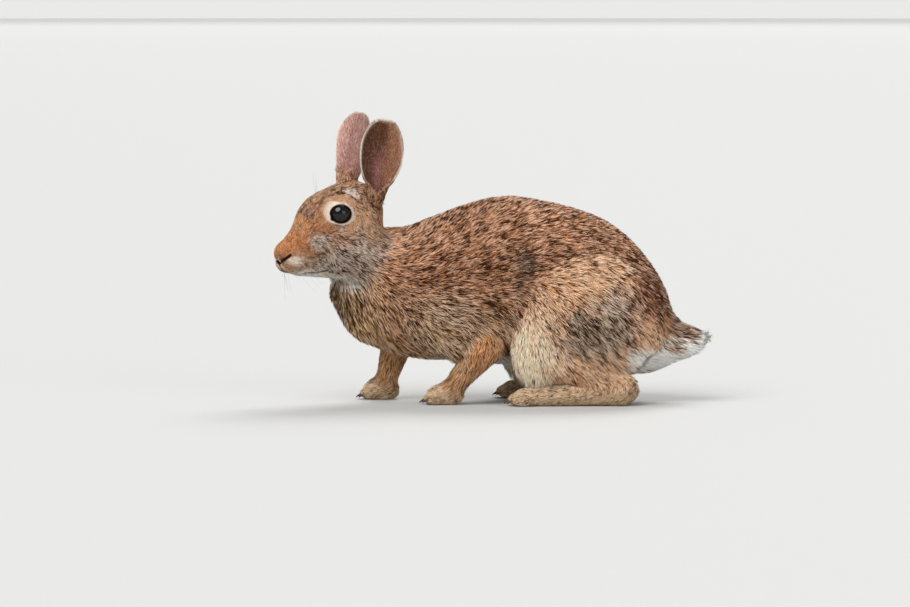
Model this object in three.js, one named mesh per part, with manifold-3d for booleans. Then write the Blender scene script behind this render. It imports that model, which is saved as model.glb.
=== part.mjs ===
// Eastern cottontail rabbit (Sylvilagus floridanus), life size, half crouched on four feet with one
// foreleg ahead of the other, the head turned a little to its left and the ears up.
// Millimetres. The tail points along +X, the rabbit's left side faces -Y, and +Z is up from the floor.
//
// The whole animal is one smooth surface: rounded masses (eggs and tapered limbs) that melt into each
// other. That surface is meshed finely where the animal is small and coarsely where it is large, and
// thin cuts part it into head, neck, trunk, tail and legs.
import * as THREE from "three";
import { mergeVertices } from "three/addons/utils/BufferGeometryUtils.js";
import Module from "manifold-3d";

const wasm = await Module();
wasm.setup();

// ---------------------------------------------------------------- driving dimensions
const gap = 0.35;                        // width of the cut between two neighbouring pieces
const cell = { trunk: 12.5, neck: 9, thigh: 10, tail: 7.4, head: 6, leg: 6.4, foot: 6.8 };

const headPivot = new THREE.Vector3(-84, 0, 140);
const headYaw = 26;                      // degrees, turns the nose to the rabbit's left
const headCut = { at: [-39, 0, -10], radii: [48, 46, 50], crown: 144 };
const eye = { at: [-36.8, 12.5, 2.4], radius: 8.3 };

const ear = {
  root: { left: [-8.5, -10, 9], right: [-17.5, 10, 13.8] },
  back: { left: 4.6, right: 14.6 },          // degrees that each ear leans back, and both lean out
  out: 12,
  facing: 22,                            // degrees that the open side looks ahead of straight sideways
  length: 64.4, thickness: 2.2,
  roll: [[0, 6], [0.15, 6.1], [0.25, 7.4], [0.33, 12], [0.42, 16.4], [0.5, 19.4], [0.7, 22], [1, 25]],
  halfWidth: [[0, 17.4], [0.12, 17.2], [0.25, 15.2], [0.33, 14.7], [0.42, 16.6], [0.5, 17.6], [0.7, 19.6]],
  tipFrom: 0.5, tipPower: { front: 2.4, rear: 1.35 }, widestHalf: 165,
  rings: 12, steps: 6, lastRing: 0.992, crowding: 0.16,
};

const stagger = { hind: -8 };            // the right hind leg stands this far ahead of the left
const neckCut = { through: [-58, 0, 140], tilt: 49.4 };
const tailCut = { through: [136, 0, 66], tilt: 12 };
const thighCut = { at: [70, 60], radii: [56, 50], inner: 20 };
const shoulderCut = { radii: [35, 25], pitch: 30, inner: 13 };
const footCut = { top: 25, inner: 17, front: 12, back: 125 };
const wristHeight = 16;
const forearmCut = { inner: 11, ahead: 20, behind: 13 };
const reach = 400;                       // larger than the animal, for the cutting solids

// the boxes in which each stretch of flesh is meshed, each a little larger than the piece cut from it;
// leg spans are measured from that leg's own points
const span = {
  head: [[-172, -58, 70], [-62, 34, 180]],
  neck: [[-150, -46, 50], [-46, 46, 160]],
  trunk: [[-140, -62, 6], [156, 62, 168]],
  tail: [[112, -34, 10], [180, 34, 84]],
  side: [4, 66],
  foot: { x: [-14, 130], z: [-8, 40] },
  thigh: { x: [-2, 140], z: [-8, 126] },
  foreleg: { x: [-40, 40], z: [-8, 70] },
  shoulder: { x: [-52, 52], z: [10, 106] },
};

// ---------------------------------------------------------------- rounded masses
// at and size are the centre and the three half lengths; pitch lifts the end that points to the head.
const trunkMasses = [
  { name: "ribs", at: [-34, 0, 88], size: [66, 35, 51], pitch: -12, blend: 0 },
  { name: "loin", at: [14, 0, 97], size: [68, 37, 58], pitch: 0, blend: 16 },
  { name: "hips", at: [59.5, 0, 95.3], size: [58, 36, 49], pitch: 18, blend: 14 },
  { name: "belly", at: [20, 0, 66], size: [75, 35, 38], pitch: 0, blend: 16 },
  { name: "rump", at: [84, 0, 73], size: [55, 40, 46.5], pitch: 36, blend: 14 },
  { name: "stern", at: [112, 0, 48], size: [31, 26, 26], pitch: 16, blend: 12 },
  { name: "neck", at: [-84, 0, 103], size: [38, 25, 29], pitch: 32, blend: 14 },
  { name: "breast", at: [-80, 0, 80], size: [34, 25, 39], pitch: 26, blend: 12 },
  { name: "throat", at: [-98.5, 0, 87], size: [23, 19, 20], pitch: -15, blend: 10 },
  { name: "brisket", at: [-46, 0, 61], size: [44, 23, 28], pitch: -4, blend: 10 },
];

const tailMasses = [
  { name: "dock", from: [132, 0, 52], to: [158, 0, 49], radii: [12, 5.5], blend: 8 },
  { name: "scut", at: [138, 0, 44], size: [20, 16, 13], pitch: 4, blend: 8 },
];

// head masses lie in the head's own frame, measured from its pivot, and are mirrored across y = 0
const headMasses = [
  { name: "cranium", at: [-24, 0, 1], size: [27, 20, 26], pitch: -25, blend: 0 },
  { name: "brow", at: [-47.5, 0, -1.2], size: [20.5, 14, 18], pitch: -52, blend: 10 },
  { name: "snout", from: [-52, 0, -11.5], to: [-70.5, 0, -25], radii: [16, 11.3], blend: 8 },
  { name: "whiskerPad", at: [-70.5, 4.5, -32.5], size: [11.5, 7.5, 9], pitch: -10, blend: 4 },
  { name: "nose", at: [-76, 4, -26.5], size: [7, 5, 7.5], pitch: -20, blend: 3 },
  { name: "cheek", at: [-24, 12, -23], size: [25, 12, 25], pitch: -15, blend: 10 },
  { name: "jaw", from: [-30, 0, -33], to: [-64, 0, -36.2], radii: [14, 7.8], blend: 5 },
  { name: "earBase", at: [-11, 8.5, 4], size: [7.5, 8.5, 14], pitch: 0, blend: 6 },
];

const legs = [-1, 1].map((side) => {
  const hind = side > 0 ? stagger.hind : 0;
  const fore = side > 0
    ? { upper: [-46, 62], elbow: [-67, 24, 52], wrist: [-78, 23, 15], paw: [-82, 23, 7], down: 12 }
    : { upper: [-32, 62], elbow: [-5, 26, 42], wrist: [-26, 24, 15], paw: [-34, 24, 7], down: 9 };
  return { side, hind, fore, name: side > 0 ? "right" : "left" };
});

function legMasses({ side, hind, fore }) {
  const at = ([x, y, z]) => [x, side * y, z];
  return [
    { name: "thigh", at: at([78 + hind, 30, 66]), size: [53, 19, 46], pitch: 22, yaw: -3 * side, blend: 7 },
    { name: "knee", at: at([38 + hind, 33, 46]), size: [22, 13, 34], pitch: 14, blend: 9 },
    { name: "shank", from: at([46 + hind, 32, 31]), to: at([95 + hind, 32, 16]), radii: [12, 9.5], blend: 8 },
    { name: "hindFoot", from: at([96 + hind, 33, 8.8]), to: at([24 + hind, 37, 6]),
      radii: [8.6, 7.4], blend: 8 },
    { name: "heel", at: at([97 + hind, 33, 10.8]), size: [15, 8.6, 10.8], pitch: -12, blend: 6 },
    { name: "upperArm", at: at([fore.upper[0], 24, fore.upper[1]]), size: [38, 13, 27], pitch: 30, blend: 8 },
    { name: "forearm", from: at(fore.elbow), to: at(fore.wrist), radii: [14, 8], blend: 8 },
    { name: "forepaw", at: at(fore.paw), size: [14, 9, 8.5], pitch: 8, blend: 8 },
  ];
}

// four claws fanned across the front of each foot
const claw = { count: 4, length: 9, radius: 1.3, droop: 20, sides: 5, height: 4.5 };
const clawSpread = { hind: 3.7, fore: 3.9 };

function clawRoots({ side, hind, fore }, kind) {
  const [tip, y] = kind === "hind" ? [19 + hind, 37] : [fore.paw[0] - 11, fore.paw[1]];
  return Array.from({ length: claw.count }, (_, i) => {
    const across = i - (claw.count - 1) / 2;
    return [tip + 1.4 * across * across, side * y + clawSpread[kind] * across, claw.height];
  });
}

// ---------------------------------------------------------------- distance fields
const radians = THREE.MathUtils.degToRad;

function turned({ pitch = 0, yaw = 0 }) {
  const turn = new THREE.Euler(0, radians(pitch), radians(yaw), "ZYX");
  return new THREE.Matrix3().setFromMatrix4(new THREE.Matrix4().makeRotationFromEuler(turn)).transpose();
}

// distance to an egg, close to true near its surface
function eggField(mass) {
  const centre = new THREE.Vector3(...mass.at);
  const size = new THREE.Vector3(...mass.size);
  const toLocal = turned(mass);
  const local = new THREE.Vector3();
  return (point) => {
    local.copy(point).sub(centre).applyMatrix3(toLocal).divide(size);
    const near = local.length();
    const slope = Math.max(local.divide(size).length(), 1e-6);
    return (near * (near - 1)) / slope;
  };
}

// distance to a limb: a rod whose radius changes evenly from one end to the other
function limbField(mass) {
  const start = new THREE.Vector3(...mass.from);
  const along = new THREE.Vector3(...mass.to).sub(start);
  const local = new THREE.Vector3();
  return (point) => {
    local.copy(point).sub(start);
    const t = THREE.MathUtils.clamp(local.dot(along) / along.lengthSq(), 0, 1);
    return local.addScaledVector(along, -t).length() - THREE.MathUtils.lerp(...mass.radii, t);
  };
}

const massField = (mass) => (mass.from ? limbField(mass) : eggField(mass));

function melt(a, b, blend) {
  const overlap = Math.max(blend - Math.abs(a - b), 0) / Math.max(blend, 1e-6);
  return Math.min(a, b) - (overlap * overlap * blend) / 4;
}

function meltAll(masses) {
  const fields = masses.map((mass) => ({ field: massField(mass), blend: mass.blend }));
  return (point) => fields.reduce((d, { field, blend }) => melt(d, field(point), blend), 1e3);
}

const toHead = new THREE.Matrix4()
  .makeTranslation(headPivot.x, headPivot.y, headPivot.z)
  .multiply(new THREE.Matrix4().makeRotationZ(radians(headYaw)))
  .invert();
const fromHead = toHead.clone().invert();

const bodyField = meltAll([...trunkMasses, ...tailMasses, ...legs.flatMap(legMasses)]);
const headField = meltAll(headMasses);
const headPoint = new THREE.Vector3();
function rabbitField(point) {
  headPoint.copy(point).applyMatrix4(toHead);
  headPoint.y = Math.abs(headPoint.y);
  return melt(bodyField(point), headField(headPoint), 8);
}

// ---------------------------------------------------------------- surface of a field
// moves a point onto the surface, by no more than the distance within
function drawOnto(field, point, within) {
  const start = point.clone();
  const step = 0.2;
  for (let pass = 0; pass < 3; pass += 1) {
    const value = field(point);
    const slope = new THREE.Vector3(...["x", "y", "z"].map((axis) => {
      const aside = point.clone();
      aside[axis] += step;
      return (field(aside) - value) / step;
    }));
    const steepness = Math.max(slope.lengthSq(), 0.05);    // a flat spot must not throw the point far
    point.addScaledVector(slope, -value / steepness);
  }
  const moved = point.clone().sub(start);
  return start.add(moved.clampLength(0, within));
}

// Surface nets: one vertex in each grid cell that the surface crosses, one quad round each crossed edge.
// Vertices are drawn onto the true surface, except where the grid's border closes the mesh.
function surfaceOf(field, low, high, step) {
  const count = low.map((value, axis) => Math.ceil((high[axis] - value) / step) + 1);
  const node = (i, j, k) => i + count[0] * (j + count[1] * k);
  const value = new Float64Array(count[0] * count[1] * count[2]).fill(1);
  const point = new THREE.Vector3();
  for (let k = 1; k < count[2] - 1; k += 1)
    for (let j = 1; j < count[1] - 1; j += 1)
      for (let i = 1; i < count[0] - 1; i += 1) {
        point.set(low[0] + i * step, low[1] + j * step, low[2] + k * step);
        value[node(i, j, k)] = field(point);
      }

  const corners = [];
  for (let c = 0; c < 8; c += 1) corners.push([c & 1, (c >> 1) & 1, (c >> 2) & 1]);
  const cellEdges = [];
  for (let a = 0; a < 8; a += 1)
    for (const bit of [1, 2, 4]) if (!(a & bit)) cellEdges.push([a, a | bit]);

  const corner = new THREE.Vector3(...low);
  const positions = [];
  const vertexOf = new Map();
  for (let k = 0; k < count[2] - 1; k += 1)
    for (let j = 0; j < count[1] - 1; j += 1)
      for (let i = 0; i < count[0] - 1; i += 1) {
        const at = corners.map(([x, y, z]) => value[node(i + x, j + y, k + z)]);
        const sum = new THREE.Vector3();
        let crossings = 0;
        for (const [a, b] of cellEdges) {
          if (at[a] < 0 === at[b] < 0) continue;
          const t = at[a] / (at[a] - at[b]);
          const [from, to] = [corners[a], corners[b]];
          sum.x += THREE.MathUtils.lerp(from[0], to[0], t);
          sum.y += THREE.MathUtils.lerp(from[1], to[1], t);
          sum.z += THREE.MathUtils.lerp(from[2], to[2], t);
          crossings += 1;
        }
        if (!crossings) continue;
        sum.divideScalar(crossings);
        const vertex = new THREE.Vector3(i, j, k).add(sum).multiplyScalar(step).add(corner);
        const inner = [i, j, k].every((n, axis) => n > 0 && n < count[axis] - 2);
        vertexOf.set(node(i, j, k), positions.length / 3);
        positions.push(...(inner ? drawOnto(field, vertex, step / 3) : vertex));
      }

  const triangles = [];
  const distance = (a, b) => Math.hypot(...[0, 1, 2].map((n) => positions[3 * a + n] - positions[3 * b + n]));
  const quad = (a, b, c, d) => {
    if (distance(a, c) < distance(b, d)) triangles.push(a, b, c, a, c, d);
    else triangles.push(a, b, d, b, c, d);
  };
  const stride = [1, count[0], count[0] * count[1]];
  for (let k = 0; k < count[2] - 1; k += 1)
    for (let j = 0; j < count[1] - 1; j += 1)
      for (let i = 0; i < count[0] - 1; i += 1)
        for (let axis = 0; axis < 3; axis += 1) {
          const here = node(i, j, k);
          const inside = value[here] < 0;
          if (inside === value[here + stride[axis]] < 0) continue;
          const [u, v] = [stride[(axis + 1) % 3], stride[(axis + 2) % 3]];
          const ring = [here - u - v, here - v, here, here - u].map((n) => vertexOf.get(n));
          quad(...(inside ? ring : ring.reverse()));
        }
  const geometry = new THREE.BufferGeometry();
  geometry.setAttribute("position", new THREE.Float32BufferAttribute(positions, 3));
  geometry.setIndex(triangles);
  return geometry;
}

// ---------------------------------------------------------------- solids, cuts and joins
function solid(geometry, matrix = new THREE.Matrix4()) {
  const bare = geometry.clone().applyMatrix4(matrix);
  bare.deleteAttribute("normal");
  bare.deleteAttribute("uv");
  const merged = mergeVertices(bare, 1e-4);
  return new wasm.Manifold(new wasm.Mesh({
    numProp: 3,
    vertProperties: new Float32Array(merged.attributes.position.array),
    triVerts: new Uint32Array(merged.index.array),
  }));
}

function geometryOf(manifold) {
  const { vertProperties, triVerts } = manifold.getMesh();
  const geometry = new THREE.BufferGeometry();
  geometry.setAttribute("position", new THREE.Float32BufferAttribute(vertProperties, 3));
  geometry.setIndex([...triVerts]);
  return geometry;
}

const flesh = (low, high, step) => solid(surfaceOf(rabbitField, low, high, step));
const box = (low, high) => solid(
  new THREE.BoxGeometry(...high.map((value, axis) => value - low[axis])),
  new THREE.Matrix4().makeTranslation(...high.map((value, axis) => (value + low[axis]) / 2)),
);
const ground = box([-reach, -reach, -reach], [reach, reach, 0]);
const cutAway = (piece, cutters) => cutters.reduce((rest, cutter) => rest.subtract(cutter), piece);

// a box that fills one side of a plane: the side that direction (degrees, in the XZ plane) points to
function beyond({ through, tilt, grow = 0 }) {
  const place = new THREE.Matrix4()
    .makeTranslation(...through)
    .multiply(new THREE.Matrix4().makeRotationY(radians(tilt)))
    .multiply(new THREE.Matrix4().makeTranslation(reach / 2 - grow, 0, 0));
  return solid(new THREE.BoxGeometry(reach, reach, reach), place);
}

// an elliptic pillar along Y, on one side of the animal, from the inner plane outward
function sidePillar({ side, at, radii, pitch = 0, inner, grow = 0 }) {
  const length = 60 - inner + grow;
  const place = new THREE.Matrix4()
    .makeTranslation(at[0], side * (inner - grow + length / 2), at[1])
    .multiply(new THREE.Matrix4().makeRotationY(radians(pitch)))
    .multiply(new THREE.Matrix4().makeScale(radii[0] + grow, 1, radii[1] + grow));
  return solid(new THREE.CylinderGeometry(1, 1, length, 22), place);
}

const headRegion = (grow) => solid(
  new THREE.SphereGeometry(1, 20, 14).scale(...headCut.radii.map((radius) => radius + grow)),
  fromHead.clone().multiply(new THREE.Matrix4().makeTranslation(...headCut.at)),
).add(box([-reach, -reach, headCut.crown - grow], [neckCut.through[0], reach, reach]));
const neckRegion = (grow) => beyond({ through: neckCut.through, tilt: 180 + neckCut.tilt, grow });
const tailRegion = (grow) => beyond({ ...tailCut, grow });
const thighRegion = ({ side, hind }, grow) => sidePillar({
  side, at: [thighCut.at[0] + hind, thighCut.at[1]], radii: thighCut.radii, inner: thighCut.inner, grow });
const shoulderRegion = ({ side, fore }, grow) => sidePillar({ side, at: fore.upper, ...shoulderCut, grow });

function footRegion({ side, hind }, grow) {
  const y = [footCut.inner - grow, 60].map((value) => side * value).sort((a, b) => a - b);
  return box([footCut.front + hind - grow, y[0], -5], [footCut.back + hind + grow, y[1], footCut.top + grow]);
}

// the foreleg below a plane that is square to the forearm, a set way down from the elbow
function forearmRegion({ side, fore }, grow) {
  const [[x, , z], wrist] = [fore.elbow, fore.wrist];
  const axis = new THREE.Vector2(wrist[0] - x, wrist[2] - z).normalize();
  const through = [x + axis.x * fore.down, 0, z + axis.y * fore.down];
  const tilt = THREE.MathUtils.radToDeg(Math.atan2(-axis.y, axis.x));
  const y = [forearmCut.inner - grow, 50].map((value) => side * value).sort((a, b) => a - b);
  const low = [wrist[0] - forearmCut.ahead - grow, y[0], -5];
  return beyond({ through, tilt, grow }).intersect(box(low, [x + forearmCut.behind + grow, y[1], z]));
}

// ---------------------------------------------------------------- ears, eyes, claws
function along(stops, t) {
  let value = stops[stops.length - 1][1];
  for (let i = stops.length - 1; i > 0; i -= 1) {
    const [[t0, v0], [t1, v1]] = [stops[i - 1], stops[i]];
    if (t < t1) value = THREE.MathUtils.mapLinear(Math.max(t, t0), t0, t1, v0, v1);
  }
  return value;
}

// an ear is a leaf rolled about its length, nearly a tube at the root and open above
function earGeometry({ side, name }) {
  const lean = [ear.back[name], ear.out].map((angle) => Math.tan(radians(angle)));
  const axis = new THREE.Vector3(lean[0], side * lean[1], 1);
  axis.normalize();
  const open = new THREE.Vector3(-Math.sin(radians(ear.facing)), side * Math.cos(radians(ear.facing)), 0);
  open.addScaledVector(axis, -open.dot(axis)).normalize();
  const across = new THREE.Vector3().crossVectors(axis, open);
  const root = new THREE.Vector3(...ear.root[name]);

  const positions = [];
  const place = (t, radius, roll, angle) => {
    const depth = roll - radius * Math.cos(angle);
    const point = root.clone().addScaledVector(axis, t * ear.length);
    point.addScaledVector(open, depth).addScaledVector(across, radius * Math.sin(angle));
    positions.push(...point.applyMatrix4(fromHead));
  };
  for (let ring = 0; ring < ear.rings; ring += 1) {
    const even = ring / (ear.rings - 1);
    const t = ear.lastRing * (even + ear.crowding * Math.sin(Math.PI * even) * even);
    const roll = along(ear.roll, t);
    const tip = Math.max(t - ear.tipFrom, 0) / (1 - ear.tipFrom);
    const angleAt = (share) => {         // share goes from -1 to 1 across the ear
      const power = share * side > 0 ? ear.tipPower.front : ear.tipPower.rear;
      const width = along(ear.halfWidth, t) * Math.sqrt(1 - tip ** power);
      return share * Math.min(width / roll, radians(ear.widestHalf));
    };
    for (let s = 0; s <= ear.steps; s += 1)
      place(t, roll + ear.thickness / 2, roll, angleAt((2 * s) / ear.steps - 1));
    for (let s = ear.steps; s >= 0; s -= 1)
      place(t, roll - ear.thickness / 2, roll, angleAt((2 * s) / ear.steps - 1));
  }

  const loop = 2 * (ear.steps + 1);
  const triangles = [];
  const quad = (a, b, c, d) => triangles.push(a, b, c, a, c, d);
  for (let ring = 0; ring < ear.rings - 1; ring += 1)
    for (let s = 0; s < loop; s += 1) {
      const [a, b] = [ring * loop + s, ring * loop + ((s + 1) % loop)];
      quad(b, a, a + loop, b + loop);
    }
  const last = (ear.rings - 1) * loop;
  for (let s = 0; s < ear.steps; s += 1) {
    quad(s, s + 1, loop - 2 - s, loop - 1 - s);
    quad(last + s + 1, last + s, last + loop - 1 - s, last + loop - 2 - s);
  }
  const geometry = new THREE.BufferGeometry();
  geometry.setAttribute("position", new THREE.Float32BufferAttribute(positions, 3));
  geometry.setIndex(triangles);
  return geometry;
}

const eyeBall = (side, grow) => solid(
  new THREE.SphereGeometry(eye.radius + grow, 14, 9).rotateX(Math.PI / 2),
  fromHead.clone().multiply(new THREE.Matrix4().makeTranslation(eye.at[0], side * eye.at[1], eye.at[2])),
);

// joins the claws to a foot, and cuts its sole flat at floor level
function clawed(foot, leg, kind) {
  const cone = new THREE.ConeGeometry(claw.radius, claw.length, claw.sides).rotateZ(Math.PI / 2);
  const droop = new THREE.Matrix4().makeRotationY(radians(-claw.droop));
  const claws = clawRoots(leg, kind).map((root) => (
    solid(cone, new THREE.Matrix4().makeTranslation(...root).multiply(droop))));
  return claws.reduce((sum, one) => sum.add(one), foot).subtract(ground);
}

// ---------------------------------------------------------------- pieces
const pieces = {};

const headFlesh = flesh(...span.head, cell.head);
pieces.head = cutAway(headFlesh.intersect(headRegion(0)), [eyeBall(-1, gap), eyeBall(1, gap)]);

const headGuard = solid(surfaceOf((point) => rabbitField(point) - gap, ...span.head, cell.head));
for (const leg of legs) {
  pieces[`ear_${leg.name}`] = solid(earGeometry(leg)).subtract(headGuard);
  pieces[`eye_${leg.name}`] = eyeBall(leg.side, 0);
}

pieces.neck = flesh(...span.neck, cell.neck).intersect(neckRegion(0)).subtract(headRegion(gap));
pieces.tail = flesh(...span.tail, cell.tail).intersect(tailRegion(0));

// flesh on one side of the body, in a span measured from two points of a leg
function sideFlesh(side, { x, z }, [from, to], step) {
  const y = span.side.map((value) => side * value).sort((a, b) => a - b);
  return flesh([from + x[0], y[0], z[0]], [to + x[1], y[1], z[1]], step);
}

const belowWrist = box([-reach, -reach, -reach], [reach, reach, wristHeight]);
const upToWrist = box([-reach, -reach, -reach], [reach, reach, wristHeight + gap]);
const trunkCuts = [headRegion(gap), neckRegion(gap), tailRegion(gap)];
for (const leg of legs) {
  const { side, name, hind, fore } = leg;
  const foot = sideFlesh(side, span.foot, [hind, hind], cell.foot).intersect(footRegion(leg, 0));
  pieces[`hind_foot_${name}`] = clawed(foot, leg, "hind");
  pieces[`thigh_${name}`] = cutAway(
    sideFlesh(side, span.thigh, [hind, hind], cell.thigh).intersect(thighRegion(leg, 0)),
    [footRegion(leg, gap), tailRegion(gap)],
  );

  const foreleg = sideFlesh(side, span.foreleg, [fore.wrist[0], fore.elbow[0]], cell.leg)
    .intersect(forearmRegion(leg, 0));
  pieces[`forearm_${name}`] = foreleg.subtract(upToWrist);
  pieces[`forepaw_${name}`] = clawed(foreleg.intersect(belowWrist), leg, "fore");
  pieces[`shoulder_${name}`] = cutAway(
    sideFlesh(side, span.shoulder, [fore.upper[0], fore.upper[0]], cell.thigh)
      .intersect(shoulderRegion(leg, 0)),
    [forearmRegion(leg, gap), thighRegion(leg, gap), neckRegion(gap)],
  );
  const regions = [footRegion, thighRegion, shoulderRegion, forearmRegion];
  trunkCuts.push(...regions.map((region) => region(leg, gap)));
}
pieces.trunk = cutAway(flesh(...span.trunk, cell.trunk), trunkCuts);

// ---------------------------------------------------------------- finishes and the finished rabbit
const coats = {
  head: 0x9c8468, neck: 0xa07a56, trunk: 0x8f7458, tail: 0x8a7a6c, thigh: 0x9a6f4c,
  shoulder: 0xa17c5a, forearm: 0xa98458, forepaw: 0xc9b89c, hind_foot: 0xc4ae8c, ear: 0x9c7f74,
};
const glass = { color: 0x120c0a, roughness: 0.08, metalness: 0 };

function finishOf(name) {
  if (name.startsWith("eye")) return new THREE.MeshStandardMaterial(glass);
  const key = name.replace(/_(left|right)$/, "");
  return new THREE.MeshStandardMaterial({ color: coats[key], roughness: 0.9, metalness: 0 });
}

const rabbit = new THREE.Group();
rabbit.name = "rabbit";
for (const [name, piece] of Object.entries(pieces)) {
  const mesh = new THREE.Mesh(geometryOf(piece), finishOf(name));
  mesh.name = name;
  rabbit.add(mesh);
}

// the origin is the middle of the footprint, at floor level
const extent = new THREE.Box3().setFromObject(rabbit);
const middle = extent.getCenter(new THREE.Vector3());
rabbit.position.set(-middle.x, -middle.y, 0);

export default rabbit;
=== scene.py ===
import bmesh
import bpy
import numpy as np
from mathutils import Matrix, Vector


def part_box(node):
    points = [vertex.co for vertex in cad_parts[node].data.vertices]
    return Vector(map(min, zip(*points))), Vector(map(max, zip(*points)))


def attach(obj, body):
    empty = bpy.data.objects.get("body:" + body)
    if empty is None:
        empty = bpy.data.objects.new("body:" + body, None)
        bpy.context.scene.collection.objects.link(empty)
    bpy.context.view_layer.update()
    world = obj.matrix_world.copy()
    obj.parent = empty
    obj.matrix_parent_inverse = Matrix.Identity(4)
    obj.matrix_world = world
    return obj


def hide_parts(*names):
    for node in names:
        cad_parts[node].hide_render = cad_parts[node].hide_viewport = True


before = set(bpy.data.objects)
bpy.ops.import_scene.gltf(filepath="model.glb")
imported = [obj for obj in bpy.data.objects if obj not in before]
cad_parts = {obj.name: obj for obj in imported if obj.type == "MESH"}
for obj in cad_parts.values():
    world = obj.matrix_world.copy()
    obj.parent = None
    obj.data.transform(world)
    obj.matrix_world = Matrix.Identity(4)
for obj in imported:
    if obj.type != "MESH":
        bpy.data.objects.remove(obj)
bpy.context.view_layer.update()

import openvdb
from math import cos, pi, radians, sin, tan
from mathutils import Vector

dice = np.random.default_rng(11)
millimetre = 0.001

# The body is modelled in millimetres in its own frame: tail along +X, left side towards -Y, floor at z = 0.
headPivot = np.array((-84.0, 0.0, 140.0))
headYaw = 26
eyeAt = np.array((-36.8, 12.5, 2.4))    # in the head's frame, mirrored for the two sides
eyeRadius = 8.3


# shapes that the body is made of
def rotation(pitch=0, yaw=0):
    p, y = radians(pitch), radians(yaw)
    aboutZ = np.array(((cos(y), -sin(y), 0), (sin(y), cos(y), 0), (0, 0, 1)))
    aboutY = np.array(((cos(p), 0, sin(p)), (0, 1, 0), (-sin(p), 0, cos(p))))
    return aboutZ @ aboutY


headTurn = rotation(yaw=headYaw)


def toHead(points):
    return (points - headPivot) @ headTurn


def fromHead(points):
    return points @ headTurn.T + headPivot


def mirrored(points):
    return points * (1, 0, 1) + np.abs(points) * (0, 1, 0)


def unitRows(rows):
    return rows / np.maximum(np.linalg.norm(rows, axis=-1, keepdims=True), 1e-9)


def placeOf(points):
    return points * millimetre + origin


leftEye = fromHead(eyeAt * (1, -1, 1))
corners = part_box("eye_left")
origin = (np.array(corners[0]) + np.array(corners[1])) / 2 - leftEye * millimetre


def distanceTo(mass, points):
    if "size" in mass:    # an egg
        local = (points - mass["at"]) @ rotation(mass.get("pitch", 0), mass.get("yaw", 0))
        size = np.array(mass["size"], float)
        near = np.linalg.norm(local / size, axis=-1)
        slope = np.maximum(np.linalg.norm(local / size**2, axis=-1), 1e-6)
        return near * (near - 1) / slope
    start, along = np.array(mass["start"], float), np.subtract(mass["end"], mass["start"])
    t = np.clip((points - start) @ along / (along @ along), 0, 1)
    gap = np.linalg.norm(points - start - t[..., None] * along, axis=-1)
    return gap - mass["radii"][0] - t * (mass["radii"][1] - mass["radii"][0])


def melt(a, b, blend):
    overlap = np.maximum(blend - np.abs(a - b), 0) / max(blend, 1e-6)
    return np.minimum(a, b) - overlap**2 * blend / 4


def carve(a, b, blend):
    return -melt(-a, b, blend)


# coat is the fur's depth over the skin, hair its length, lie its direction, fur its colours in the palette
trunkMasses = [
    dict(at=(-34, 0, 88), size=(66, 35, 51), pitch=-12, blend=0,
         coat=4.5, hair=8, lie=(1, 0, -0.3), fur="back"),
    dict(at=(14, 0, 97), size=(68, 37, 58), blend=16,
         coat=4.5, hair=8, lie=(1, 0, -0.2), fur="back"),
    dict(at=(59.5, 0, 95.3), size=(58, 36, 49), pitch=18, blend=14,
         coat=4.5, hair=8, lie=(0.95, 0, -0.4), fur="back"),
    dict(at=(20, 0, 66), size=(75, 35, 38), blend=16, coat=4, hair=8.5, lie=(1, 0, -0.35), fur="flank"),
    dict(at=(84, 0, 73), size=(55, 40, 46.5), pitch=36, blend=14,
         coat=5, hair=8.5, lie=(0.65, 0, -0.75), fur="rump"),
    dict(at=(112, 0, 48), size=(31, 26, 26), pitch=16, blend=12,
         coat=5, hair=14, lie=(0.9, 0, -0.35), fur="white"),
    dict(at=(-84, 0, 103), size=(38, 25, 29), pitch=32, blend=14,
         coat=4, hair=8.5, lie=(0.85, 0, -0.55), fur="nape"),
    dict(at=(-80, 0, 80), size=(34, 25, 39), pitch=26, blend=12,
         coat=5, hair=12.5, lie=(0.6, 0, -0.8), fur="chest"),
    dict(at=(-98.5, 0, 87), size=(23, 19, 20), pitch=-15, blend=10,
         coat=5, hair=13, lie=(0.5, 0, -0.85), fur="chest"),
    dict(at=(-46, 0, 61), size=(44, 23, 28), pitch=-4, blend=10,
         coat=4.5, hair=11, lie=(0.9, 0, -0.45), fur="chest"),
    dict(start=(132, 0, 52), end=(158, 0, 49), radii=(12, 5.5), blend=8,
         coat=3.5, hair=10, lie=(1, 0, -0.12), fur="tail"),
    dict(at=(138, 0, 44), size=(20, 16, 13), pitch=4, blend=8,
         coat=5, hair=15, lie=(1, 0, -0.3), fur="white"),
]

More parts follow.
